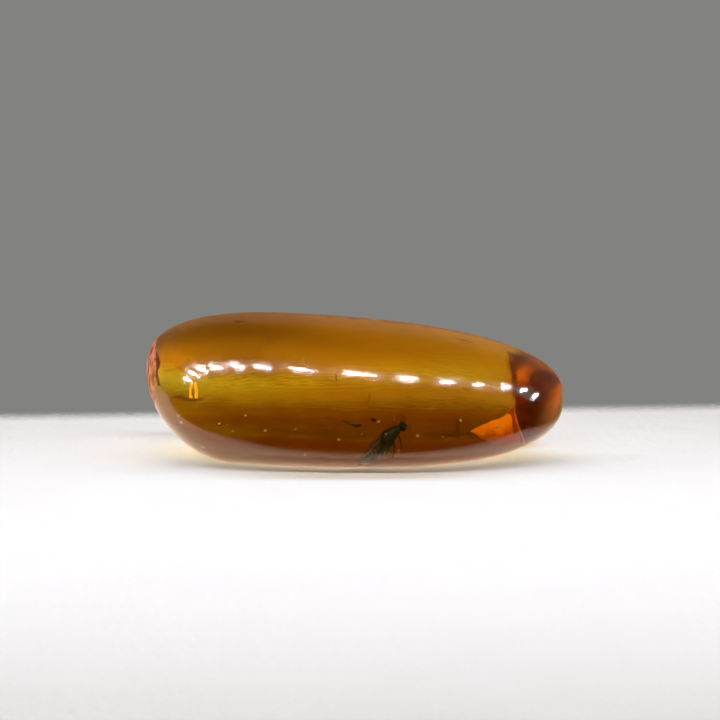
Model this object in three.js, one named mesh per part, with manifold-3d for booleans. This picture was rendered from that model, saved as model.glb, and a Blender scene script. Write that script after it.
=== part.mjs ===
// Insect in amber: one polished piece of amber, a long lopsided cabochon that lies on its flat back.
// Millimetres, +Z up. The origin is on the resting plane, under the middle of the piece.
// +X runs along the piece, from its blunt end to its tapered end, and -Y is the side that shows best.
// The insect and the bubbles are sealed in the amber, so they aren't solids of their own here.
import * as THREE from 'three';
import { mergeVertices } from 'three/addons/utils/BufferGeometryUtils.js';
import Module from 'manifold-3d';

const wasm = await Module();
wasm.setup();

// Driving dimensions of the amber.
const HALF_LENGTH = 10;        // from the middle to either tip
const HALF_WIDTH = 5.2;        // from the long axis to the girdle
const WIDEST_AT = 1;           // x where the plan is widest
const BLUNT_TIP_HEIGHT = 4.45; // height of the left tip above the resting plane
const SHARP_TIP_HEIGHT = 3.2;  // height of the right tip
const GIRDLE_SHARE = 0.3;      // share of the height that lies below the girdle
const SECTION_ROUNDNESS = 2.2; // 2 is an ellipse, more is squarer
const FLAT_TURN = (43 * Math.PI) / 180; // how far the flat on the back right is turned from the back
const FLAT_X = 6.4;            // a point on that flat, seen from above
const FLAT_Y = 4.15;

// Each outline is a hump over the length: where it peaks, how high, and how blunt on either side.
const CROWN = { peak: -2, rise: 3.12, left: 2.6, right: 2.4 };
const KEEL = { peak: -5.8, rise: 4.2, left: 1.9, right: 2.55 };
const FRONT_PLAN = { peak: WIDEST_AT, rise: HALF_WIDTH, left: 2.2, right: 2 };
const BACK_PLAN = { peak: WIDEST_AT, rise: HALF_WIDTH, left: 6, right: 2 };

// Faceting.
const STATIONS = 48;           // along the piece, tip to tip
const SIDES = 40;              // around each section
const CUTTER = 40;             // edge of the block that grinds the back flat

// How high a hump stands at x: its rise at its peak, and nothing at either tip.
function humpHeight(hump, x) {
  const onTheLeft = x < hump.peak;
  const share = onTheLeft
    ? (hump.peak - x) / (HALF_LENGTH + hump.peak)
    : (x - hump.peak) / (HALF_LENGTH - hump.peak);
  const roundness = onTheLeft ? hump.left : hump.right;
  return hump.rise * Math.max(0, 1 - share ** roundness) ** (1 / roundness);
}

// Height of the straight line between the two tips.
function axisHeight(x) {
  const share = (x + HALF_LENGTH) / (2 * HALF_LENGTH);
  return BLUNT_TIP_HEIGHT + (SHARP_TIP_HEIGHT - BLUNT_TIP_HEIGHT) * share;
}

// How far back the oblique flat lets the skin reach at x.
function flatLimit(x) {
  const sideways = Math.sin(FLAT_TURN);
  const backwards = Math.cos(FLAT_TURN);
  return FLAT_Y + (sideways * (FLAT_X - x)) / backwards;
}

// One point of the skin: x along the piece, turn from 0 to 2 pi around the section.
function skinPoint(x, turn) {
  const crown = axisHeight(x) + humpHeight(CROWN, x);
  const keel = axisHeight(x) - humpHeight(KEEL, x);
  const girdle = keel + GIRDLE_SHARE * (crown - keel);
  const across = Math.cos(turn);
  const up = Math.sin(turn);
  const width = humpHeight(across > 0 ? BACK_PLAN : FRONT_PLAN, x);
  const reach = up > 0 ? crown - girdle : girdle - keel;
  const bulge = 2 / SECTION_ROUNDNESS;
  const y = width * Math.sign(across) * Math.abs(across) ** bulge;
  const z = girdle + reach * Math.sign(up) * Math.abs(up) ** bulge;
  return [x, Math.min(y, flatLimit(x)), z];
}

// The closed skin before the back is ground: rings of points between two tips.
function wholeSkin() {
  const positions = [-HALF_LENGTH, 0, BLUNT_TIP_HEIGHT];
  for (let station = 1; station < STATIONS; station += 1) {
    const x = -HALF_LENGTH * Math.cos((Math.PI * station) / STATIONS);
    for (let side = 0; side < SIDES; side += 1) {
      positions.push(...skinPoint(x, (2 * Math.PI * side) / SIDES));
    }
  }
  positions.push(HALF_LENGTH, 0, SHARP_TIP_HEIGHT);

  const lastPoint = positions.length / 3 - 1;
  const ringStart = (ring) => 1 + ring * SIDES;
  const indices = [];
  for (let side = 0; side < SIDES; side += 1) {
    const next = (side + 1) % SIDES;
    indices.push(0, ringStart(0) + next, ringStart(0) + side);
    for (let ring = 0; ring < STATIONS - 2; ring += 1) {
      const near = ringStart(ring);
      const far = ringStart(ring + 1);
      indices.push(near + side, near + next, far + side);
      indices.push(near + next, far + next, far + side);
    }
    indices.push(lastPoint, ringStart(STATIONS - 2) + side, ringStart(STATIONS - 2) + next);
  }

  const geometry = new THREE.BufferGeometry();
  geometry.setAttribute('position', new THREE.Float32BufferAttribute(positions, 3));
  geometry.setIndex(indices);
  return geometry;
}

// A three.js geometry as a manifold-3d solid.
function toSolid(geometry) {
  const bare = geometry.clone();
  bare.deleteAttribute('normal');
  bare.deleteAttribute('uv');
  const merged = mergeVertices(bare);
  return new wasm.Manifold(new wasm.Mesh({
    numProp: 3,
    vertProperties: new Float32Array(merged.attributes.position.array),
    triVerts: new Uint32Array(merged.index.array),
  }));
}

function toGeometry(solid) {
  const mesh = solid.getMesh();
  const geometry = new THREE.BufferGeometry();
  geometry.setAttribute('position', new THREE.Float32BufferAttribute(mesh.vertProperties, 3));
  geometry.setIndex(new THREE.Uint32BufferAttribute(mesh.triVerts, 1));
  geometry.computeVertexNormals();
  return geometry;
}

// The back is ground flat by keeping only what stands above the resting plane.
function amberGeometry() {
  const aboveThePlane = new THREE.BoxGeometry(CUTTER, CUTTER, CUTTER);
  aboveThePlane.translate(0, 0, CUTTER / 2);
  return toGeometry(toSolid(wholeSkin()).intersect(toSolid(aboveThePlane)));
}

const amber = new THREE.Mesh(
  amberGeometry(),
  new THREE.MeshStandardMaterial({
    color: '#b4640a',
    roughness: 0.08,
    metalness: 0,
    transparent: true,
    opacity: 0.75,
  }),
);
amber.name = 'amber';

const insectInAmber = new THREE.Group();
insectInAmber.add(amber);

export default insectInAmber;
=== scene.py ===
# %% [markdown]
# # An insect in amber
# The real object is a drop of hardened tree resin, polished into a long pebble, with one small insect and a
# few crumbs and bubbles sealed inside. The stone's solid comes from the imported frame. This script gives it a
# finely sampled skin and a clear resin to be seen through, then makes what is sealed in it.

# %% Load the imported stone
import math
import bpy
import numpy as np
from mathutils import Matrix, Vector, noise


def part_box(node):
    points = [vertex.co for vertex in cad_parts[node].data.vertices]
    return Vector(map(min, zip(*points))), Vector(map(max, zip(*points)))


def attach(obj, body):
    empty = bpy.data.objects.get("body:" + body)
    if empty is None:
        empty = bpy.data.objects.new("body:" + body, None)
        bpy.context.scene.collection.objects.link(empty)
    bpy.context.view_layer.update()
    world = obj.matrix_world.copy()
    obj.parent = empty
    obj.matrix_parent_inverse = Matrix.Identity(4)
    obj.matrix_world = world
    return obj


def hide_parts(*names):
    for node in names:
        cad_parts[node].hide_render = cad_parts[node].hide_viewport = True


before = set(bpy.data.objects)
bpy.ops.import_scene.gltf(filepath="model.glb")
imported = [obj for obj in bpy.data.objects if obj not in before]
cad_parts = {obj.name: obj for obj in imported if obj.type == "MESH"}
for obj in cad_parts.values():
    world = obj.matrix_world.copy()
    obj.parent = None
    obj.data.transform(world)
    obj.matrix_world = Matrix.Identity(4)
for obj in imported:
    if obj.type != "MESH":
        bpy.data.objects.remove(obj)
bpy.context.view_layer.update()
LOWEST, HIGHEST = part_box("amber")
STONE_LENGTH = 20.0  # all the numbers below are in millimetres of this drawing
MM = (HIGHEST.x - LOWEST.x) / STONE_LENGTH

# %% [markdown]
# ## The stone's outline
# A polished pebble has no straight line in it: a crown that leans to one end, a keel it rests on and a plan that
# is blunt at one end and pointed at the other. A sculpted blob could give that, but one formula keeps the skin
# perfectly smooth, which a clear stone needs, because every small dent would show in what it bends. So each
# outline is a superellipse on either side of its widest place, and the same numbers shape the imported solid.

# %% Driving dimensions of the stone
HALF_LENGTH = STONE_LENGTH / 2
HALF_WIDTH = (HIGHEST.y - LOWEST.y) / 2 / MM
TIP_HEIGHTS = (4.45, 3.2)  # left tip, right tip
CROWN = {"rise": 3.12, "peak": -2.0, "left": 2.6, "right": 2.4}
KEEL = {"rise": 4.2, "peak": -5.8, "left": 1.9, "right": 2.55}
WIDEST_AT = 1.0
FRONT_PLAN = {"left": 2.2, "right": 2.0}
BACK_PLAN = {"left": 6.0, "right": 2.0}
GIRDLE_SHARE = 0.30  # how far up each section is widest
SECTION_ROUNDNESS = 2.2
BASE_SOFTNESS = 0.06


def superellipse(share, roundness):
    """How high a rounded outline stands at a share of the way from its middle to its end."""
    return np.maximum(1 - np.abs(share) ** roundness, 0) ** (1 / roundness)


def two_sided(x, middle, left, right):
    """A hump over the stone's length that peaks at middle, with its own roundness on each side."""
    to_left = superellipse((middle - x) / (HALF_LENGTH + middle), left)
    to_right = superellipse((x - middle) / (HALF_LENGTH - middle), right)
    return np.where(x < middle, to_left, to_right)


def outlines(x):
    """Crown height, keel height, girdle height, front half width and back half width at x."""
    share = (x + HALF_LENGTH) / STONE_LENGTH
    axis = TIP_HEIGHTS[0] + (TIP_HEIGHTS[1] - TIP_HEIGHTS[0]) * share
    crown = axis + CROWN["rise"] * two_sided(x, CROWN["peak"], CROWN["left"], CROWN["right"])
    keel = axis - KEEL["rise"] * two_sided(x, KEEL["peak"], KEEL["left"], KEEL["right"])
    front = HALF_WIDTH * two_sided(x, WIDEST_AT, FRONT_PLAN["left"], FRONT_PLAN["right"])
    back = HALF_WIDTH * two_sided(x, WIDEST_AT, BACK_PLAN["left"], BACK_PLAN["right"])
    return crown, keel, keel + GIRDLE_SHARE * (crown - keel), front, back


print("crown stands at", round(float(outlines(np.array(-2.0))[0]), 2), "of", round(HIGHEST.z / MM, 2))

# %% [markdown]
# ## Pieces and finishes
# Every piece below is a list of points and faces made in code, placed where it lies and hung on the stone's
# body, so that the whole thing moves as one. A short helper does that the same way each time.

# %% Helpers for pieces
def add_mesh(name, points, faces, finish, smooth=True):
    """A mesh object from points in millimetres."""
    mesh = bpy.data.meshes.new(name)
    mesh.from_pydata((np.asarray(points, float) * MM).tolist(), [], faces)
    mesh.validate()
    mesh.update()
    if smooth:
        mesh.shade_smooth()
    mesh.materials.append(finish)
    thing = bpy.data.objects.new(name, mesh)
    bpy.context.scene.collection.objects.link(thing)
    return thing


def add_piece(name, points, faces, finish, slot, smooth=True):
    """A piece of the object: it rides on the stone's body and takes the given finish."""
    piece = add_mesh(name, points, faces, finish, smooth)
    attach(piece, "root")
    return piece


def ring_faces(rings, sides):
    """Faces of a skin whose points are a first tip, rings of sides points, and a last tip."""
    last = rings * sides + 1
    faces = []
    for side in range(sides):
        following = (side + 1) % sides
        faces.append((0, 1 + following, 1 + side))
        faces.append((last, last - sides + side, last - sides + following))
        for ring in range(rings - 1):
            here = 1 + ring * sides
            there = here + sides
            faces.append((here + side, here + following, there + following, there + side))
    return faces


# %% [markdown]
# Shader sums read best as sums. The class below wraps one output of a node, so that `1 - mask * 0.5` adds the
# Math nodes by itself. Everything else, from a noise to a shader, comes from one method that takes the node's
# type, its settings and the values or links of its sockets.

# %% A small language for nodes
class Value:
    """One output of a node, with arithmetic."""

    def __init__(self, nodes, socket):
        self.nodes = nodes
        self.socket = socket

    def sum(self, operation, first, second):
        return self.nodes.add("ShaderNodeMath", {"operation": operation}, {0: first, 1: second})

    def __add__(self, other):
        return self.sum("ADD", self, other)

    def __radd__(self, other):
        return self.sum("ADD", other, self)

    def __sub__(self, other):
        return self.sum("SUBTRACT", self, other)

    def __rsub__(self, other):
        return self.sum("SUBTRACT", other, self)

    def __mul__(self, other):
        return self.sum("MULTIPLY", self, other)

    def __rmul__(self, other):
        return self.sum("MULTIPLY", other, self)


class Nodes:
    """A node tree that is being written."""

    def __init__(self, tree):
        self.tree = tree
        self.tree.nodes.clear()

    def add(self, kind, settings=None, values=None, output=0):
        node = self.tree.nodes.new(kind)
        for name, setting in (settings or {}).items():
            setattr(node, name, setting)
        for name, value in (values or {}).items():
            self.plug(node.inputs[name], value)
        return Value(self, node.outputs[output]) if node.outputs else None

    def plug(self, socket, value):
        if isinstance(value, Value):
            self.tree.links.new(value.socket, socket)
        elif isinstance(value, tuple) and socket.type == "RGBA":
            socket.default_value = (*value[:3], 1)
        else:
            socket.default_value = value

    def place(self):
        """Where a point of the piece is, in millimetres of the drawing."""
        here = self.add("ShaderNodeTexCoord", output=3)
        return self.add("ShaderNodeVectorMath", {"operation": "SCALE"}, {0: here, "Scale": 1 / MM})

    def along(self, axis, place=None):
        parts = self.add("ShaderNodeSeparateXYZ", values={0: place or self.place()})
        return Value(self, parts.socket.node.outputs["XYZ".index(axis)])

    def noise(self, scale, stretch=(1, 1, 1), detail=2.0):
        """A soft random value with scale waves per millimetre, drawn out by stretch."""
        drawn = self.add("ShaderNodeVectorMath", {"operation": "MULTIPLY"}, {0: self.place(), 1: stretch})
        return self.add("ShaderNodeTexNoise", values={"Vector": drawn, "Scale": scale, "Detail": detail})

    def steps(self, value, low, high, at_low=0.0, at_high=1.0):
        """A smooth step from at_low to at_high as value goes from low to high."""
        numbers = {0: value, 1: low, 2: high, 3: at_low, 4: at_high}
        return self.add("ShaderNodeMapRange", {"interpolation_type": "SMOOTHSTEP"}, numbers)

    def blend(self, share, first, second):
        """A colour between two colours."""
        return self.add("ShaderNodeMix", {"data_type": "RGBA"}, {0: share, 6: first, 7: second}, output=2)

    def bump(self, height, depth, strength=1.0):
        """A normal from a height; depth is in millimetres."""
        return self.add("ShaderNodeBump", values={"Height": height, "Distance": depth * MM, "Strength": strength})

    def principled(self, **values):
        """A Principled shader; a name's underscores stand for spaces."""
        named = {name.replace("_", " "): value for name, value in values.items()}
        return self.add("ShaderNodeBsdfPrincipled", values=named)

    def finish(self, surface, volume=None):
        shaders = {"Surface": surface} if volume is None else {"Surface": surface, "Volume": volume}
        self.add("ShaderNodeOutputMaterial", values=shaders)


def new_finish(name):
    material = bpy.data.materials.new(name)
    material.use_nodes = True
    return material, Nodes(material.node_tree)


# %% [markdown]
# ## Clear resin
# Amber is a clear, slightly hazy dielectric. Its colour isn't on its skin but in its depth: blue light is lost
# within a millimetre, green within a few, and red goes right through, so thin edges are yellow and long paths
# are red. A coloured surface can't do that. So the skin is white glass with amber's index of refraction, and an
# absorption fills the body. A faint haze blurs what is seen through it, a clear coat keeps the lamps' reflections
# crisp, and fine polishing scratches, which run mostly along the stone, break them up.

# %% Resin
AMBER_IOR = 1.54
RESIN_COLOUR = (0.940, 0.845, 0.107)
RESIN_DENSITY = 560.0
SKIN_HAZE = 0.075
COAT_SHARE = 0.8
CHIP_AT = -9.42  # the broken left tip begins here


def resin():
    material, n = new_finish("resin")
    scratches = n.noise(9.0, stretch=(0.12, 1, 1), detail=4)
    dimples = n.noise(1.3, detail=1)
    wear = n.steps(scratches, 0.50, 0.72)
    skin = n.bump(scratches * 0.50 + dimples, 0.016)
    clear = n.principled(
        Base_Color=(1, 1, 1), Transmission_Weight=1.0, IOR=AMBER_IOR, Roughness=SKIN_HAZE + wear * 0.05,
        Coat_Weight=COAT_SHARE, Coat_Roughness=0.02, Coat_IOR=AMBER_IOR, Normal=skin,
    )
    ragged = n.along("X") + n.noise(2.0, detail=6) * 0.60
    chipped = n.steps(ragged, CHIP_AT + 0.34, CHIP_AT + 0.24)
    splinters = n.noise(5.0, stretch=(1, 1, 0.4), detail=5)
    dull = n.principled(
        Base_Color=n.blend(n.steps(splinters, 0.35, 0.65), (0.36, 0.06, 0.025), (0.88, 0.38, 0.26)),
        Roughness=0.45, Specular_IOR_Level=0.1, Normal=n.bump(splinters, 0.08), IOR=AMBER_IOR,
    )
    skin_and_chip = n.add("ShaderNodeMixShader", values={0: chipped * 0.75, 1: clear, 2: dull})
    depth = n.add("ShaderNodeVolumeAbsorption", values={"Color": RESIN_COLOUR, "Density": RESIN_DENSITY})
    n.finish(skin_and_chip, depth)
    return material


RESIN = resin()
print("resin lets through per millimetre:", [round(math.exp(-(1 - c) * RESIN_DENSITY * MM), 3) for c in RESIN_COLOUR])

# %% [markdown]
# ## The stone's skin
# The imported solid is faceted, and facets would show as broken bands in clear resin. So the skin is sampled
# again from the same formula with many more rings and sides. On the hidden back, where the pebble tapers, the
# polisher left one oblique flat: it mirrors the stone's length and makes the red cap at that end. The section's
# lower half flattens softly where the stone rests.

# %% Skin of the stone
RINGS = 319
SIDES = 256
FLAT_AT = (6.4, 4.15)  # a point on the oblique flat, seen from above
FLAT_TURN = math.radians(43)
FLAT_SOFTNESS = 0.05


def soft_minimum(first, second, softness):
    return -softness * np.logaddexp(-first / softness, -second / softness)


def stone_points():
    x = -HALF_LENGTH * np.cos(np.linspace(0, math.pi, RINGS + 2)[1:-1])
    crown, keel, girdle, front, back = (values[:, None] for values in outlines(x))
    angle = np.linspace(0, 2 * math.pi, SIDES, endpoint=False)
    across, up = np.cos(angle), np.sin(angle)
    power = 2 / SECTION_ROUNDNESS
    y = np.where(across > 0, back, front) * np.sign(across) * np.abs(across) ** power
    z = girdle + np.where(up > 0, crown - girdle, girdle - keel) * np.sign(up) * np.abs(up) ** power
    turn = np.array([math.sin(FLAT_TURN), math.cos(FLAT_TURN)])
    flat = (turn @ np.array(FLAT_AT) - turn[0] * x[:, None]) / turn[1]
    y = soft_minimum(y, flat, FLAT_SOFTNESS)
    z = BASE_SOFTNESS * np.logaddexp(0, z / BASE_SOFTNESS)
    rings = np.stack([np.broadcast_to(x[:, None], y.shape), y, z], -1).reshape(-1, 3)
    tips = [(-HALF_LENGTH, 0, TIP_HEIGHTS[0]), (HALF_LENGTH, 0, TIP_HEIGHTS[1])]
    return np.vstack([tips[:1], rings, tips[1:]])


amber = add_piece("amber_stone", stone_points(), ring_faces(RINGS, SIDES), RESIN, "amber")
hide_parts("amber")
print("amber_stone has", len(amber.data.polygons), "faces and is", [round(s / MM, 2) for s in amber.dimensions], "mm")

# %% [markdown]
# ## Lofts and blobs
# An insect's body, its legs and the crumbs round it are all rounded skins along a path. One loft makes them:
# rings of a given width and height along a row of points, closed by a point at each end.

# %% Loft
def turned(path, hint):
    """For each point of a path: its direction, a side vector and an up vector near the hint."""
    ahead = np.gradient(path, axis=0)
    ahead /= np.linalg.norm(ahead, axis=1)[:, None]
    side = np.cross(np.asarray(hint, float), ahead)
    side /= np.linalg.norm(side, axis=1)[:, None]
    return ahead, side, np.cross(ahead, side)


def loft(path, widths, heights, sides=20, hint=(0, 0, 1)):
    """Points and faces of a closed skin along a path; widths and heights are half sizes."""
    path = np.asarray(path, float)
    ahead, side, up = turned(path, hint)
    angle = np.linspace(0, 2 * math.pi, sides, endpoint=False)
    across = side[:, None] * (np.cos(angle)[:, None] * np.ones((len(path), 1, 1))) * np.reshape(widths, (-1, 1, 1))
    above = up[:, None] * (np.sin(angle)[:, None] * np.ones((len(path), 1, 1))) * np.reshape(heights, (-1, 1, 1))
    rings = (path[:, None] + across + above).reshape(-1, 3)
    first = path[0] - ahead[0] * min(widths[0], heights[0]) * 0.5
    last = path[-1] + ahead[-1] * min(widths[-1], heights[-1]) * 0.5
    return np.vstack([[first], rings, [last]]), ring_faces(len(path), sides)


def roughened(points, size, depth, seed):
    """Points pushed about by a smooth noise of a given size and depth."""
    offset = Vector((seed * 7.1, seed * 3.3, seed * 1.7))
    pushed = [Vector(p) + noise.noise_vector(Vector(p) / size + offset) * depth for p in points]
    return np.array([tuple(p) for p in pushed])


# %% [markdown]
# ## The insect
# It is a small gnat, about three millimetres long, that lies head up in the lower front of the stone. The
# camera sees it through the curved skin, so it is placed where its light comes out at the right spot. It is built
# in its own frame: x runs from tail to head, y to its left, z out of its back. Modelling it by hand
# would also work, but a few rows of half sizes say the same and can be read.

# %% Where the insect lies
TAIL = np.array([0.18, -3.75, 0.66])
HEAD = np.array([2.30, -3.70, 2.28])
BACK_FACES = np.array([-0.35, -0.85, 0.40])
AHEAD = (HEAD - TAIL) / np.linalg.norm(HEAD - TAIL)
LEFT = np.cross(BACK_FACES, AHEAD) / np.linalg.norm(np.cross(BACK_FACES, AHEAD))
UP = np.cross(AHEAD, LEFT)
BODY_LENGTH = float(np.linalg.norm(HEAD - TAIL))
print("the insect is", round(BODY_LENGTH, 2), "mm long")


def lie(points):
    """Points of the insect's own frame, with its tail at the origin, put in their place in the stone."""
    points = np.asarray(points, float)
    return TAIL + points[:, :1] * AHEAD + points[:, 1:2] * LEFT + points[:, 2:3] * UP


# %% [markdown]
# The cuticle is dark greenish brown, a little shiny, with fine bristly roughness and paler bands where the
# plates of the abdomen meet. The eyes are redder and set with facets. The wings are thin smoky films, folded
# over the abdomen, and their veins are the only part that is nearly opaque.

# %% Finishes of the insect
SEALED_GLOSS = 0.12  # resin round a piece takes most of its shine away


def cuticle():
    material, n = new_finish("cuticle")
    mottling = n.noise(6.0, detail=4)
    bristles = n.noise(45.0, stretch=(1, 1, 0.3), detail=3)
    colour = n.blend(n.steps(mottling, 0.35, 0.65), (0.006, 0.004, 0.002), (0.020, 0.015, 0.006))
    shell = n.principled(
        Base_Color=colour, Roughness=0.32 + bristles * 0.25, Specular_IOR_Level=SEALED_GLOSS,
        Normal=n.bump(bristles, 0.012),
    )
    n.finish(shell)
    return material


def faceted_eye():
    material, n = new_finish("faceted_eye")
    cells = n.add("ShaderNodeTexVoronoi", values={"Vector": n.place(), "Scale": 38.0})
    colour = n.blend(n.steps(cells, 0.1, 0.6), (0.060, 0.012, 0.006), (0.012, 0.003, 0.002))
    n.finish(n.principled(
        Base_Color=colour, Roughness=0.25, Specular_IOR_Level=SEALED_GLOSS, Normal=n.bump(1 - cells, 0.01),
    ))
    return material


def wing_film():
    material, n = new_finish("wing_film")
    cloud = n.noise(5.0, detail=3)
    colour = n.blend(cloud, (0.035, 0.032, 0.020), (0.13, 0.12, 0.08))
    film = n.principled(Base_Color=colour, Roughness=0.30 + cloud * 0.2, Alpha=0.06 + cloud * 0.20)
    n.finish(film)
    return material


CUTICLE = cuticle()
EYE = faceted_eye()
WING = wing_film()


def insect_piece(name, skin, finish=CUTICLE, slot="insect"):
    points, faces = skin
    return add_piece("insect_" + name, lie(points), faces, finish, slot)


# %% Abdomen, thorax and head
SEGMENTS = 8
ABDOMEN = {"start": 0.10, "end": 1.50, "thick": 0.26}
THORAX = {"start": 1.30, "end": 2.36, "thick": 0.335}
HEAD_AT = np.array([2.50, 0, -0.02])
HEAD_SIZE = (0.19, 0.21, 0.19)


def abdomen():
    share = np.linspace(0, 1, 12 * SEGMENTS)
    taper = np.sin(math.pi * (0.10 + 0.72 * share)) ** 0.7
    plates = 1 - 0.10 * np.abs(np.sin(math.pi * SEGMENTS * share)) ** 6
    half = ABDOMEN["thick"] * taper * plates
    x = ABDOMEN["start"] + (ABDOMEN["end"] - ABDOMEN["start"]) * share
    path = np.stack([x, 0 * x, -0.05 * np.sin(math.pi * share)], -1)
    return loft(path, half, half * 0.85, 32)


def thorax():
    share = np.linspace(0.02, 0.98, 40)
    half = THORAX["thick"] * np.sqrt(np.maximum(1 - (2 * share - 1) ** 2, 0)) * (1 - 0.12 * np.cos(3 * math.pi * share))
    x = THORAX["start"] + (THORAX["end"] - THORAX["start"]) * share
    path = np.stack([x, 0 * x, 0.09 * np.sin(math.pi * share)], -1)
    return loft(path, half * 0.9, half, 32)


def ball(centre, half_sizes, rings=24, sides=32):
    turn = np.linspace(0, math.pi, rings + 2)[1:-1]
    path = np.stack([centre[0] - half_sizes[0] * np.cos(turn), centre[1] + 0 * turn, centre[2] + 0 * turn], -1)
    return loft(path, half_sizes[1] * np.sin(turn), half_sizes[2] * np.sin(turn), sides)


insect_piece("abdomen", abdomen())
insect_piece("thorax", thorax())
insect_piece("head", ball(HEAD_AT, HEAD_SIZE))
for side, sign in (("left", 1), ("right", -1)):
    eye_at = HEAD_AT + np.array([0.05, sign * 0.145, 0.045])
    insect_piece("eye_" + side, ball(eye_at, (0.085, 0.075, 0.105), 16, 24), EYE)

# %% [markdown]
# Six legs hang from the thorax: each has a thick upper part, a thin shin and a foot of small beads. The front
# pair reaches forward and the hind pair trails past the tail. Antennae are strings of beads. One path with a
# bumpy half width makes each of them.

# %% Legs and antennae
def smooth_path(corners, count):
    """A curve through a few corner points, by Catmull and Rom's rule."""
    corners = np.asarray(corners, float)
    padded = np.vstack([2 * corners[0] - corners[1], corners, 2 * corners[-1] - corners[-2]])
    places = np.linspace(0, len(corners) - 1 - 1e-6, count)
    start = places.astype(int)
    t = (places - start)[:, None]
    a, b, c, d = (padded[start + k] for k in range(4))
    return 0.5 * (2 * b + (c - a) * t + (2 * a - 5 * b + 4 * c - d) * t ** 2 + (3 * b - a - 3 * c + d) * t ** 3)


def leg(sign, hip_x, reach, spread):
    """A leg that leaves the thorax at hip_x, with its foot reach ahead of the hip and spread to the side."""
    hip = np.array([hip_x, sign * 0.14, -0.18])
    knee = hip + np.array([reach * 0.30, sign * spread * 0.62, -0.08])
    ankle = hip + np.array([reach * 0.72, sign * spread * 0.88, -0.20])
    toe = hip + np.array([reach, sign * spread, -0.26])
    share = np.linspace(0, 1, 60)
    beads = 1 + 0.25 * np.sin(26 * math.pi * share) * (share > 0.68)
    half = (0.032 * (1 - share) ** 0.8 + 0.008) * beads
    return loft(smooth_path([hip, knee, ankle, toe], 60), half, half, 10, hint=(0.1, 0.2, 1))


def antenna(sign):
    root = HEAD_AT + np.array([0.15, sign * 0.06, 0.05])
    corners = [root, root + (0.12, sign * 0.12, 0.08),
               root + (0.10, sign * 0.30, 0.10), root + (-0.06, sign * 0.44, 0.06)]
    share = np.linspace(0, 1, 84)
    half = 0.018 * (1 - 0.5 * share) * (1 + 0.3 * np.cos(28 * math.pi * share))
    return loft(smooth_path(corners, 84), half, half, 10, hint=(0.2, 0.1, 1))


LEGS = {"front": (2.12, -0.14, 0.28), "middle": (1.86, -0.52, 0.36), "hind": (1.60, -1.56, 0.28)}
for side, sign in (("left", 1), ("right", -1)):
    insect_piece("antenna_" + side, antenna(sign))
    for pair, (hip_x, reach, spread) in LEGS.items():
        insect_piece("leg_" + pair + "_" + side, leg(sign, hip_x, reach, spread))

# %% [markdown]
# A gnat's wing is a film on a few long veins. The film is a thin shell over a teardrop plan, gently
# corrugated, and the veins are tubes laid on it as a piece of their own, so both keep their own finish.

# %% Wings
WING_ROOT = np.array([1.86, 0.08, 0.25])
WING_LENGTH = 2.05
WING_WIDTH = 0.40


def wing_plan(share):
    """Half width of the wing at a share of its length."""
    return WING_WIDTH / 2 * np.sin(math.pi * share ** 0.75) ** 0.6


def wing_place(sign, share, across):
    """A point on the wing: across goes from -1 to 1 over its width."""
    out = 0.10 + 0.20 * share + across * wing_plan(share)
    x = WING_ROOT[0] - WING_LENGTH * share
    z = WING_ROOT[2] - 0.16 * share + 0.015 * np.sin(9 * across) - 0.10 * np.abs(across)
    return np.stack([x + 0 * out, sign * out, z + 0 * out], -1)


def wing_film_skin(sign):
    share = np.linspace(0.01, 0.99, 60)
    across = np.concatenate([np.linspace(-1, 1, 16), np.linspace(1, -1, 16)])
    thickness = np.concatenate([np.full(16, 0.004), np.full(16, -0.004)])
    grid = wing_place(sign, share[:, None], across[None, :])
    grid[..., 2] += thickness
    ends = [wing_place(sign, np.array([s]), np.array([0.0])) for s in (0.002, 0.998)]
    return np.vstack([ends[0], grid.reshape(-1, 3), ends[1]]), ring_faces(60, 32)


def wing_vein(sign, start, end):
    share = np.linspace(0.03, 0.95, 50)
    across = start + (end - start) * share ** 1.5
    half = 0.016 * (1 - 0.6 * share)
    return loft(wing_place(sign, share, across), half, half, 8, hint=(0, 0.1, 1))


VEINS = {"edge": (0.93, 0.80), "fore": (0.50, 0.62), "middle": (0.10, 0.12), "hind": (-0.30, -0.50)}
for side, sign in (("left", 1), ("right", -1)):
    insect_piece("wing_" + side, wing_film_skin(sign), WING, "wing")
    for vein, (start, end) in VEINS.items():
        insect_piece("vein_" + vein + "_" + side, wing_vein(sign, start, end))

# %% [markdown]
# ## Crumbs, hairs and dust
# Resin that ran down bark is never clean. Dark flecks lie in a loose row above the insect, a hair stands
# near the middle, and reddish scars sit just under the crown. Each is a loft with an uneven surface.

# %% Finishes of the dirt
def speckled(name, dark, light, scale, roughness, cover=1.0):
    material, n = new_finish(name)
    grain = n.noise(scale, detail=5)
    colour = n.blend(n.steps(grain, 0.35, 0.65), dark, light)
    n.finish(n.principled(
        Base_Color=colour, Roughness=roughness, Specular_IOR_Level=SEALED_GLOSS, Normal=n.bump(grain, 0.02),
        Alpha=n.steps(grain, 0.30, 0.50, cover * 0.4, cover),
    ))
    return material


BARK = speckled("bark_dust", (0.004, 0.0015, 0.001), (0.016, 0.005, 0.003), 14.0, 0.7)
SCAR = speckled("red_scar", (0.10, 0.015, 0.005), (0.25, 0.05, 0.015), 9.0, 0.6)
PALE = speckled("pale_dust_and_glints", (0.45, 0.32, 0.20), (0.80, 0.62, 0.45), 12.0, 0.6)
STAIN = speckled("brown_stain", (0.090, 0.010, 0.003), (0.300, 0.040, 0.010), 7.0, 0.7, cover=0.42)

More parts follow.
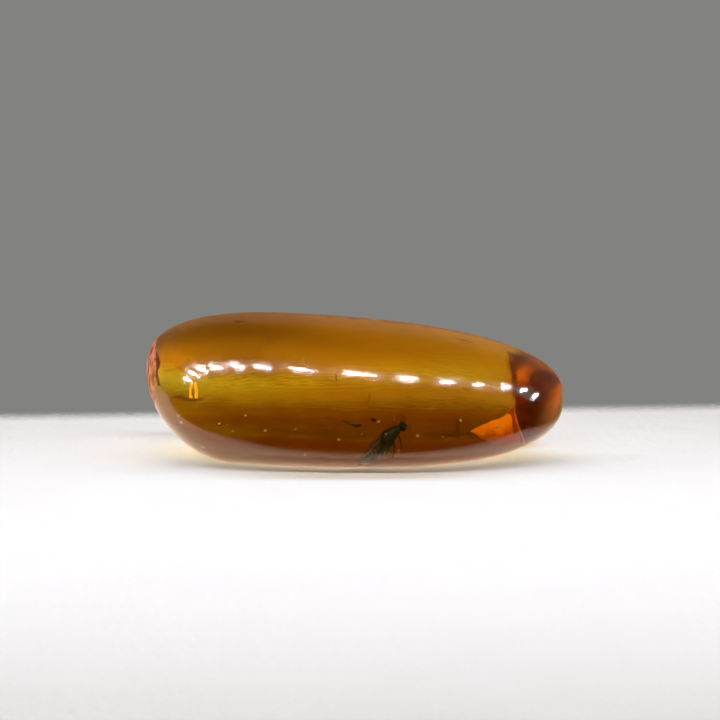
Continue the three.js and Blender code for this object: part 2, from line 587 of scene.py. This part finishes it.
# %% Crumbs
CRUMBS = {
    "fleck_thin": (BARK, [(-0.58, -4.34, 2.50), (-0.35, -4.36, 2.43), (-0.12, -4.37, 2.32)], 0.032),
    "fleck_thick": (BARK, [(-0.13, -4.37, 2.31), (0.10, -4.38, 2.30), (0.32, -4.39, 2.32)], 0.058),
    "fleck_round": (BARK, [(0.75, -4.57, 2.64), (0.86, -4.57, 2.56), (0.95, -4.57, 2.49)], 0.075),
    "smudge_upper": (STAIN, [(-1.25, -3.60, 2.52), (-1.05, -3.62, 2.44), (-0.85, -3.60, 2.46)], 0.060),
    "smudge_lower": (STAIN, [(-1.65, -3.60, 2.32), (-1.25, -3.62, 2.16), (-0.88, -3.66, 2.00)], 0.085),
    "hair": (BARK, [(-0.85, -3.20, 4.35), (-0.86, -3.22, 4.18), (-0.82, -3.20, 4.02)], 0.022),
    "hair_lower": (STAIN, [(0.62, -3.60, 3.62), (0.68, -3.62, 3.40), (0.55, -3.60, 3.12)], 0.020),
    "left_smudge": (STAIN, [(-8.33, -1.65, 3.26), (-7.90, -1.82, 3.31), (-7.44, -1.96, 3.17), (-6.85, -2.20, 3.24)], 0.060),
    "seam_smear": (STAIN, [(4.62, -3.70, 2.50), (4.67, -3.75, 2.05), (4.62, -3.75, 1.62)], 0.095),
    "crown_fleck": (BARK, [(-5.75, -1.45, 6.78), (-5.49, -1.50, 6.76), (-5.20, -1.48, 6.79)], 0.045),
    "crown_scar": (SCAR, [(4.75, -1.62, 5.98), (5.10, -1.60, 5.94), (5.48, -1.66, 5.78)], 0.040),
    "scratch": (PALE, [(-2.52, -4.00, 5.06), (-2.40, -3.98, 5.12), (-2.33, -3.80, 5.40)], 0.018),
    "curl": (STAIN, [(4.98, -3.80, 3.95), (5.07, -3.80, 3.80), (5.20, -3.80, 3.84)], 0.025),
}


def add_crumb(name, finish, corners, thick, seed):
    share = np.linspace(0, 1, 36)
    half = thick * (np.sin(math.pi * (0.06 + 0.88 * share)) ** 0.6)
    points, faces = loft(smooth_path(corners, 36), half, half * 0.8, 14, hint=(0.1, 1, 0.2))
    return add_piece("crumb_" + name, roughened(points, 0.10, thick * 0.55, seed), faces, finish, "debris")


for seed, (name, (finish, corners, thick)) in enumerate(CRUMBS.items()):
    add_crumb(name, finish, corners, thick, seed)

# %% [markdown]
# Pale dust is finer: some twenty specks scattered through the lower front. A seeded generator places fourteen,
# so every run gives the same dust, and the rest are listed. Four of those are pale grains painted where light
# glints: three at the lower left rim and one just in front of the round bubble. One mesh holds them all.

# %% Dust
DUST_COUNT = 14
DUST_BOX = ((-6.0, -4.1, 1.3), (6.5, -3.0, 2.7))
# Listed grains; the three near x = -7 to -8 and the one at (-6.21, -3.60, 2.28) are painted glints.
DUST_AND_GLINT_GRAINS = [
    ((1.08, -4.57, 2.49), 0.050), ((2.85, -4.49, 1.85), 0.048), ((4.80, -3.88, 2.44), 0.050), ((1.42, -4.40, 1.92), 0.030),
    ((-0.72, -4.40, 1.70), 0.035), ((-4.98, -3.90, 2.69), 0.040), ((-4.07, -4.14, 2.04), 0.045), ((-7.03, -2.94, 1.14), 0.060),
    ((-8.14, -2.71, 2.56), 0.060), ((-8.00, -2.76, 2.26), 0.070), ((-6.21, -3.60, 2.28), 0.036),
]


def merged(skins):
    """Several skins as one: points one after another, faces renumbered."""
    points, faces, count = [], [], 0
    for skin_points, skin_faces in skins:
        points.append(skin_points)
        faces.extend(tuple(count + corner for corner in face) for face in skin_faces)
        count += len(skin_points)
    return np.vstack(points), faces


def grain(centre, half, seed):
    points, faces = ball(centre, (half * 1.4, half, half), 8, 10)
    return roughened(points, 0.05, half * 0.5, seed), faces


draw = np.random.default_rng(7)
specks = []
for speck in range(DUST_COUNT):
    centre = draw.uniform(*DUST_BOX)
    specks.append(grain(centre, draw.uniform(0.012, 0.028), speck))
for speck, (centre, half) in enumerate(DUST_AND_GLINT_GRAINS):
    specks.append(grain(centre, half, speck))
add_piece("dust_and_glint_specks", *merged(specks), PALE, "debris")
print("dust specks:", DUST_COUNT)

# %% [markdown]
# ## Bubbles
# A bubble is air in resin, so its wall bends light the other way: seen from the resin, its index is one over
# amber's. Its colour darkens towards the rim, where the wall turns away from the view: a painted dark ring. The
# bright middle of the round one is a pale grain just in front of it: a painted glint. A faint ripple keeps the
# wall from looking machined.

# %% Bubbles
BUBBLES = {
    "round": ((-6.22, -3.45, 2.27), 0.13),
    "left_small": ((-4.55, -3.90, 2.20), 0.040),
    "middle_small": ((2.95, -4.10, 1.92), 0.045),
    "right_small": ((4.80, -3.90, 2.62), 0.050),
}


def bubble_wall():
    material, n = new_finish("bubble_wall")
    ripple = n.noise(8.0, detail=1)
    # Painted dark ring: the wall's colour darkens where it turns away from the view.
    painted_dark_rim = n.add("ShaderNodeLayerWeight", values={"Blend": 0.5}, output=1)
    colour = n.blend(n.steps(painted_dark_rim, 0.25, 0.70), (1, 1, 1), (0.15, 0.04, 0.02))
    n.finish(n.principled(
        Base_Color=colour, Transmission_Weight=1.0, IOR=1 / AMBER_IOR, Roughness=ripple * 0.02,
        Normal=n.bump(ripple, 0.002),
    ))
    return material


BUBBLE_WALL = bubble_wall()
for name, (centre, radius) in BUBBLES.items():
    add_piece("bubble_" + name, *ball(centre, (radius, radius, radius)), BUBBLE_WALL, "bubble")

# %% [markdown]
# ## Cracks and glints
# Strain splits amber into thin curved sheets: a wedge of them by the red cap, two slivers at the blunt end,
# and a ragged one behind the chipped tip. Air gaps would be truer, but they flash only from one side. So each is
# a thin sheet of warm, rough, partly see-through finish. The light they catch is painted: most sheets glow by
# an emission of their own, so the wedge glows orange and the two slivers are painted glints. The same table
# holds two see-through sheets that are no cracks: one darkens and reddens the lower half of the stone, and one
# darkens and reddens the view through the red cap.

# %% Crack sheets
def crack(name, deep, bright, cover, painted_glow):
    material, n = new_finish(name)
    veil = n.noise(2.2, detail=4)
    colour = n.blend(veil, deep, bright)
    # The emission is painted light: it stands in for the light the crack catches.
    sheet = n.principled(
        Base_Color=colour, Roughness=0.5, Specular_IOR_Level=0.0, Alpha=cover * n.steps(veil, 0.2, 0.5, 0.7, 1.0),
        Emission_Color=colour, Emission_Strength=painted_glow,
    )
    n.finish(sheet)
    return material



def glow():
    material, n = new_finish("crack_glow")
    place = n.place()
    ragged = n.noise(2.6, stretch=(1, 1, 0.5), detail=4)
    streaks = n.noise(5.0, stretch=(0.5, 1, 2.5), detail=4)
    below_edge = (n.along("X", place) - 5.2) * 0.12 + 1.95 - n.along("Z", place) + ragged * 0.4
    # Painted glow: the wedge is bright orange near its upper edge and redder below, and glows by its own emission.
    colour = n.blend(n.steps(below_edge + streaks * 0.9, 0.45, 1.30), (0.95, 0.24, 0.003), (0.42, 0.03, 0.002))
    n.finish(n.principled(
        Base_Color=colour, Roughness=0.5, Specular_IOR_Level=0.0, Emission_Color=colour, Emission_Strength=0.12,
        Alpha=n.steps(below_edge, 0.30, 0.90, 0.92, 0.15),
    ))
    return material


GLOW = glow()
# The slivers' sheets glow brightest: painted glints; the ember and seam glow faintly, the split not at all.
SPARK = crack("crack_spark", (1.0, 0.40, 0.03), (1.0, 0.56, 0.06), 1.0, 0.50)
EMBER = crack("crack_ember", (0.30, 0.02, 0.002), (0.60, 0.07, 0.006), 0.60, 0.04)
SEAM = crack("crack_seam", (0.75, 0.16, 0.03), (0.95, 0.28, 0.08), 0.55, 0.10)
SPLIT = crack("crack_split", (0.20, 0.018, 0.006), (0.45, 0.06, 0.02), 0.8, 0.0)
SHEET_ROWS = 14


def sheet(first_edge, second_edge, bulge, thickness=0.012, seed=0):
    """A thin closed sheet between two edges of corner points, bulging to the front."""
    first = smooth_path(first_edge, 24)
    second = smooth_path(second_edge, 24)
    share = np.linspace(0, 1, SHEET_ROWS)[None, :, None]
    grid = first[:, None] * (1 - share) + second[:, None] * share
    grid[..., 1] -= bulge * np.sin(math.pi * share[..., 0])
    back = grid[:, ::-1] + (0, thickness, 0)
    around = np.concatenate([grid, back], 1)
    points = roughened(around.reshape(-1, 3), 0.5, 0.05, seed)
    ends = points[:1] * 0.5 + points[SHEET_ROWS - 1:SHEET_ROWS] * 0.5, points[-1:] * 0.5 + points[-SHEET_ROWS:-SHEET_ROWS + 1] * 0.5
    return np.vstack([ends[0], points, ends[1]]), ring_faces(24, 2 * SHEET_ROWS)


LOWER_TINT_TOP = 3.55
LOWER_TINT_FULL = 2.85


# A see-through sheet that darkens and reddens what is seen through the lower half, in cloudy patches, fading out near
# its foot.
def lower_tint():
    material, n = new_finish("lower_tint")
    clouds = n.noise(0.9, stretch=(0.6, 1, 1.4), detail=5)
    height = n.along("Z") + clouds * 0.5
    thick = n.steps(height, LOWER_TINT_TOP + 0.25, LOWER_TINT_FULL + 0.25, 0.0, 1.0) * n.steps(clouds, 0.15, 0.60, 0.75, 1.0)
    colour = n.blend(n.steps(n.along("X"), -7, 1), (0.71, 0.53, 0.45), (0.65, 0.40, 0.38))
    above_foot = n.steps(n.along("Z") + (n.along("X") + 3) * 0.4, 0.4, 1.5)
    tint = n.blend(thick * above_foot, (1, 1, 1), colour)
    n.finish(n.principled(Base_Color=tint, Transmission_Weight=1.0, IOR=1.0, Roughness=0.0, Specular_IOR_Level=0.0))
    return material


LOWER_TINT = lower_tint()


# A see-through sheet that darkens and reddens what is seen through the red cap.
def cap_tint():
    material, n = new_finish("cap_tint")
    tint = n.blend(n.noise(1.2, detail=3), (0.45, 0.28, 0.22), (0.62, 0.44, 0.34))
    n.finish(n.principled(Base_Color=tint, Transmission_Weight=1.0, IOR=1.0, Roughness=0.0, Specular_IOR_Level=0.0))
    return material


CAP_TINT = cap_tint()

CRACKS = {
    "lower_tint_veil": (LOWER_TINT, [(-8.6, 0.0, 4.2), (-5.0, 0.0, 4.2), (0.0, 0.0, 4.2), (4.0, 0.0, 4.2), (7.6, 0.0, 4.2)],
                   [(-8.6, 0.0, 3.0), (-5.0, 0.0, 0.7), (0.0, 0.0, 0.3), (4.0, 0.0, 0.6), (7.6, 0.0, 1.3)], 0.0),
    "cap_veil": (CAP_TINT, [(7.1, -1.0, 5.1), (7.9, -1.0, 4.8), (8.9, -0.6, 4.3), (9.7, -0.1, 3.7)],
                 [(7.1, -1.0, 1.5), (7.9, -1.0, 1.5), (8.9, -0.6, 1.9), (9.7, -0.1, 2.7)], 0.0),
    "wedge_glow": (GLOW, [(5.22, -3.37, 1.96), (5.95, -3.12, 2.24), (6.65, -2.80, 2.45), (7.20, -2.50, 2.86)],
                   [(5.22, -3.37, 1.90), (5.92, -3.29, 1.62), (6.72, -2.89, 1.40), (7.50, -2.20, 1.36)], 0.10),
    "cap_ember": (EMBER, [(6.92, -2.70, 2.62), (6.98, -2.66, 2.25), (7.05, -2.58, 1.85), (7.15, -2.50, 1.50)],
                  [(7.22, -2.55, 2.95), (7.30, -2.55, 2.32), (7.45, -2.45, 1.88), (7.64, -2.15, 1.45)], 0.03),
    "cap_seam": (SEAM, [(7.30, -2.42, 3.20), (7.22, -2.56, 2.86), (7.31, -2.56, 2.32), (7.46, -2.46, 1.88), (7.72, -2.10, 1.48)],
                 [(7.33, -2.42, 3.20), (7.26, -2.56, 2.86), (7.36, -2.56, 2.32), (7.53, -2.46, 1.88), (7.82, -2.10, 1.48)], 0.0),
    "sliver_left": (SPARK, [(-7.47, -1.80, 3.95), (-7.50, -1.90, 3.58), (-7.45, -1.96, 3.24)],
                    [(-7.35, -1.80, 3.93), (-7.40, -1.90, 3.58), (-7.32, -1.96, 3.24)], 0.02),
    "sliver_right": (SPARK, [(-7.27, -1.85, 3.95), (-7.27, -1.92, 3.58), (-7.25, -2.00, 3.26)],
                     [(-7.16, -1.85, 3.93), (-7.10, -1.92, 3.58), (-7.09, -2.00, 3.26)], 0.02),
    "tip_split": (SPLIT, [(-9.38, -1.10, 5.32), (-9.30, -1.45, 4.75), (-9.36, -1.60, 4.40), (-9.22, -1.80, 3.85)],
                  [(-9.22, -1.05, 5.30), (-8.99, -1.40, 4.80), (-9.14, -1.60, 4.35), (-8.98, -1.75, 3.82)], 0.02),
}
for seed, (name, (finish, first_edge, second_edge, bulge)) in enumerate(CRACKS.items()):
    add_piece("crack_" + name, *sheet(first_edge, second_edge, bulge, seed=seed), finish, "debris")
print("cracks:", list(CRACKS))

# %% [markdown]
# ## The floor
# The stone lies on a soft white pad. A soft pad gives way: it rises a little round the stone, which hides the
# dark line of contact, and its far edge is rounded and fuzzy. A plain plane would be quicker, but the stone is a
# lens and shows the floor behind it, so the floor's shape matters. The felt's colour holds painted light and
# shade: a painted shadow of the stone behind it, tinted by painted amber light that came through the stone, a
# painted shade farther back and a painted warm shadow just in front. The floor the camera sees is not mirrored
# by the stone's gloss. A copy, seen only in its reflections, fades out in front of the stone, because a bright
# floor there would hide the inside, and it is painted warmer and glows faintly: a painted reflection.

# %% Floor
PAD_RISE = 0.05
PAD_SWELL = 0.33
PAD_REACH = 2.3
PAD_EDGE = 16.2  # where the far edge is half gone, and how that place moves along X
PAD_EDGE_SKEW = 0.116
PAD_EDGE_FUZZ = 2.5
PAD_BACK = 24.0
PAD_FRONT = -160.0
PAD_HALF_WIDTH = 150.0
PAD_GAP = 0.02
PAD_STEP = 0.03  # how far the mirrored pad lies above the plain one
MIRROR_FRONT = -5.3  # where the mirrored pad is half gone, in front and on the right
MIRROR_RIGHT = 12.0
# Painted shadow of the stone on the pad behind it, tinted by painted amber light that came through the stone:
PAINTED_SHADOW_AND_AMBER_LIGHT = ((0.39, 0.22, 0.10), (0.78, 0.53, 0.27))  # behind the blunt end, behind the tapered end
# Painted warm shadow on the pad just in front of the stone.
PAINTED_WARM_SHADOW = (0.74, 0.70, 0.655)
# Painted shade on the pad farther behind the stone.
PAINTED_FAR_SHADE = (0.56, 0.54, 0.52)
# Painted reflection: the mirrored copy's warmer colour and faint glow.
PAINTED_REFLECTION_TINT = (0.98, 0.88, 0.77)
PAINTED_REFLECTION_GLOW = (1.0, 0.48, 0.38)


def felt(name, mirrored):
    material, n = new_finish(name)
    fibres = n.noise(2.5, stretch=(1, 0.6, 1), detail=5)
    lumps = n.noise(0.25, detail=2)
    colour = n.blend(lumps, (0.85, 0.89, 0.955), (0.88, 0.92, 0.985))
    place = n.place()
    back, right = n.along("Y", place), n.along("X", place)
    beside = n.steps(right, -7.0, -6.3) * n.steps(right, 10.0, 8.0)
    # Painted shadow of the stone behind it, tinted by painted amber light that came through the stone.
    painted_shadow_and_light = n.steps(back + right * 0.45, 10.4, 8.2) * n.steps(back, 3.0, 5.0) * beside
    colour = n.blend(painted_shadow_and_light, colour, n.blend(n.steps(right, -6.5, 2.0), *PAINTED_SHADOW_AND_AMBER_LIGHT))
    # Painted shade on the pad farther behind the stone.
    painted_far_shade = n.steps(back + right * 0.35, 10.8, 13.2) * n.steps(right, -8.5, -6.0) * n.steps(right, 8.0, 6.0)
    colour = n.blend(painted_far_shade, colour, PAINTED_FAR_SHADE)
    # Painted warm shadow just in front of the stone.
    painted_front_shadow = n.steps(back, -9.2, -6.2) * n.steps(back, 0.0, -3.0) * n.steps(right, -8.0, -1.5) * n.steps(right, 7.5, 2.0)
    colour = n.blend(painted_front_shadow, colour, PAINTED_WARM_SHADOW)
    past_edge = back - right * PAD_EDGE_SKEW + fibres * 1.6
    whole = n.steps(past_edge, PAD_EDGE + 0.8 - PAD_EDGE_FUZZ, PAD_EDGE + 0.8 + PAD_EDGE_FUZZ, 1.0, 0.0)
    # The mirrored copy is painted warmer and glows a little: a painted reflection.
    if mirrored:
        colour = n.blend(0.9, colour, PAINTED_REFLECTION_TINT)
        near_edge = back - n.steps(right, -9.0, -3.0) * 1.2
        whole = whole * n.steps(near_edge, MIRROR_FRONT - 1.2, MIRROR_FRONT + 0.3)
        whole = whole * n.steps(right, MIRROR_RIGHT + 2.5, MIRROR_RIGHT - 2.5)
    n.finish(n.principled(
        Base_Color=colour, Roughness=0.95, Specular_IOR_Level=0.0, Normal=n.bump(fibres + lumps * 3, 0.06),
        Alpha=whole, Emission_Color=PAINTED_REFLECTION_GLOW, Emission_Strength=0.15 if mirrored else 0.0,
    ))
    return material


def underside(x, y):
    """Height of the stone's lower skin above the floor, and a large number beside the stone."""
    inside = np.abs(x) < HALF_LENGTH
    crown, keel, girdle, front, back = outlines(np.clip(x, -HALF_LENGTH + 1e-6, HALF_LENGTH - 1e-6))
    share = np.abs(y) / np.where(y < 0, front, back)
    low = girdle - (girdle - keel) * superellipse(np.minimum(share, 1), SECTION_ROUNDNESS)
    return np.where(inside & (share < 1), np.maximum(low, 0), 9.0)


def pad_height(x, y):
    """The pad's top: it sinks towards the stone and follows its underside."""
    beside = np.maximum(np.sqrt((x / HALF_LENGTH) ** 2 + (y / HALF_WIDTH) ** 2) - 1, 0) * HALF_WIDTH
    swell = PAD_RISE + PAD_SWELL * (1 - np.exp(-(beside / PAD_REACH) ** 2))
    return soft_minimum(swell, underside(x, y) - PAD_GAP, 0.03)


def pad(name, y_lines, finish, sunk=0.0):
    beside = np.linspace(16, PAD_HALF_WIDTH, 20)
    x_lines = np.concatenate([-beside[::-1], np.linspace(-15, 15, 251), beside])
    x, y = np.meshgrid(x_lines, y_lines, indexing="ij")
    points = np.stack([x, y, pad_height(x, y) - sunk], -1).reshape(-1, 3)
    rows = len(y_lines)
    corners = np.arange(len(x_lines) - 1)[:, None] * rows + np.arange(rows - 1)[None, :]
    faces = np.stack([corners, corners + rows, corners + rows + 1, corners + 1], -1).reshape(-1, 4).tolist()
    return add_mesh(name, points, faces, finish)


AROUND = np.concatenate([np.linspace(-10, 9, 140), np.linspace(9.5, PAD_BACK, 20)])
floor = pad("floor", np.concatenate([np.linspace(PAD_FRONT, -11, 16), AROUND]), felt("felt", False))
floor.visible_glossy = False
mirror_pad = pad("floor_mirrored", AROUND, felt("felt_mirrored", True), -PAD_STEP)
mirror_pad.visible_camera = False
mirror_pad.visible_diffuse = False
mirror_pad.visible_transmission = False
mirror_pad.visible_shadow = False
print("floor faces:", len(floor.data.polygons) + len(mirror_pad.data.polygons))

# %% [markdown]
# ## Light
# The room is a plain grey backdrop. What the stone bends comes from all round, so the room behind it is a
# little warmer and darker with height, which an environment picture could also give. One long soft lamp
# above the front lights the pad, and a row of small round lamps in it draws the broken line of highlights.

# %% Room
BACKDROP = (0.222, 0.225, 0.215)
HORIZON = (0.42, 0.26, 0.10)
WALL_LOW = (0.24, 0.10, 0.05)
WALL_HIGH = (0.24, 0.14, 0.08)
CEILING = (0.16, 0.09, 0.01)
FRONT_ROOM = (0.06, 0.03, 0.0)
FRONT_THROUGH = (0.17, 0.08, 0.04)


def sine(degrees):
    return math.sin(math.radians(degrees))


def room():
    world = bpy.data.worlds.new("room")
    bpy.context.scene.world = world
    world.use_nodes = True
    n = Nodes(world.node_tree)
    toward = n.add("ShaderNodeTexCoord")
    parts = n.add("ShaderNodeSeparateXYZ", values={0: toward})
    behind = n.steps(Value(n, parts.socket.node.outputs[1]), -0.2, 0.3)
    height = Value(n, parts.socket.node.outputs[2])
    low_wall = n.blend(n.steps(height, sine(-4), sine(6)), HORIZON, WALL_LOW)
    wall = n.blend(n.steps(height, sine(8), sine(14)), low_wall, WALL_HIGH)
    seen = n.add("ShaderNodeLightPath")
    through = Value(n, seen.socket.node.outputs["Is Transmission Ray"])
    around = n.blend(behind, n.blend(through, FRONT_ROOM, FRONT_THROUGH), wall)
    all_round = n.blend(n.steps(height, sine(40), sine(60)), around, CEILING)
    colour = n.blend(seen, all_round, BACKDROP)
    n.add("ShaderNodeOutputWorld", values={"Surface": n.add("ShaderNodeBackground", values={"Color": colour})})


room()

# %% Lamps
KEY_PLACE = (0, -36, 54)
KEY_SIZE = (200, 10)
KEY_POWER = 0.070
HIGH_PLACE = (0, 24, 66)
HIGH_SIZE = (160, 40)
HIGH_POWER = 0.022
LAMP_COUNT = 14
LAMP_SIZE = (8.6, 3.0)
LAMP_POWER = 0.0041


def add_lamp(name, place, size, power, shape):
    light = bpy.data.lights.new(name, "AREA")
    light.shape = shape
    light.size = size[0] * MM
    light.size_y = size[1] * MM
    light.energy = power
    lamp = bpy.data.objects.new(name, light)
    bpy.context.scene.collection.objects.link(lamp)
    lamp.location = Vector(place) * MM
    aim = Vector((0, 0, 3)) - Vector(place)
    lamp.rotation_euler = aim.to_track_quat("-Z", "Y").to_euler()
    lamp.visible_camera = False
    return lamp


def spot_place(number):
    """A place on the lamps' arch: high in the middle, with ends that come down and round the stone."""
    turn = math.radians(-77 + 11.9 * number - 9 * math.sin(math.pi * number / (LAMP_COUNT - 1)))
    across = 6 + 82 * math.sin(turn)
    nearer = (6.3e-5 if across > 0 else 2.7e-5) * abs(across) ** 3
    return across, nearer - 48, 70 * math.cos(turn) ** 0.6


key = add_lamp("key", KEY_PLACE, KEY_SIZE, KEY_POWER, "RECTANGLE")
high = add_lamp("high", HIGH_PLACE, HIGH_SIZE, HIGH_POWER, "RECTANGLE")
high.visible_transmission = False
for soft_lamp in (key, high):
    soft_lamp.visible_glossy = False
for number in range(LAMP_COUNT):
    power = LAMP_POWER * (2.0 if number > LAMP_COUNT - 4 else 1.0)
    lamp = add_lamp(f"spot_{number:02d}", spot_place(number), LAMP_SIZE, power, "ELLIPSE")
    lamp.visible_diffuse = False
    lamp.visible_transmission = False
    lamp.data.use_shadow = False
print("lamps:", LAMP_COUNT + 2)

# %% [markdown]
# ## Camera
# The view is nearly level with the stone, through a long lens from close by. Depth of field stays off.

# %% Camera
VIEW_ELEVATION = 5.5
LENS = 100.0
SENSOR = 36.0
VIEW_WIDTH = 34.6
LOOK_AT = Vector((0.24, 0, 4.88))

view = bpy.data.cameras.new("view")
view.lens = LENS
view.sensor_width = SENSOR
view.clip_start = MM
view.clip_end = 5.0
camera = bpy.data.objects.new("view", view)
bpy.context.scene.collection.objects.link(camera)
tilt = math.radians(VIEW_ELEVATION)
distance = VIEW_WIDTH * LENS / SENSOR
camera.location = (LOOK_AT + distance * Vector((0, -math.cos(tilt), math.sin(tilt)))) * MM
camera.rotation_euler = (math.pi / 2 - tilt, 0, 0)
bpy.context.scene.camera = camera
print("camera stands", round(distance, 1), "mm away")

# %% [markdown]
# Light crosses the skin, the bubbles and the cracks several times before it reaches the eye, so the tracer may
# bend it more often than usual, and the colours are shown plainly, without a film curve.

# %% How light is followed
scene = bpy.context.scene
scene.view_settings.view_transform = "Standard"
scene.cycles.max_bounces = 16
scene.cycles.transmission_bounces = 16
scene.cycles.glossy_bounces = 8
scene.cycles.diffuse_bounces = 4
scene.cycles.caustics_refractive = True
scene.cycles.caustics_reflective = True
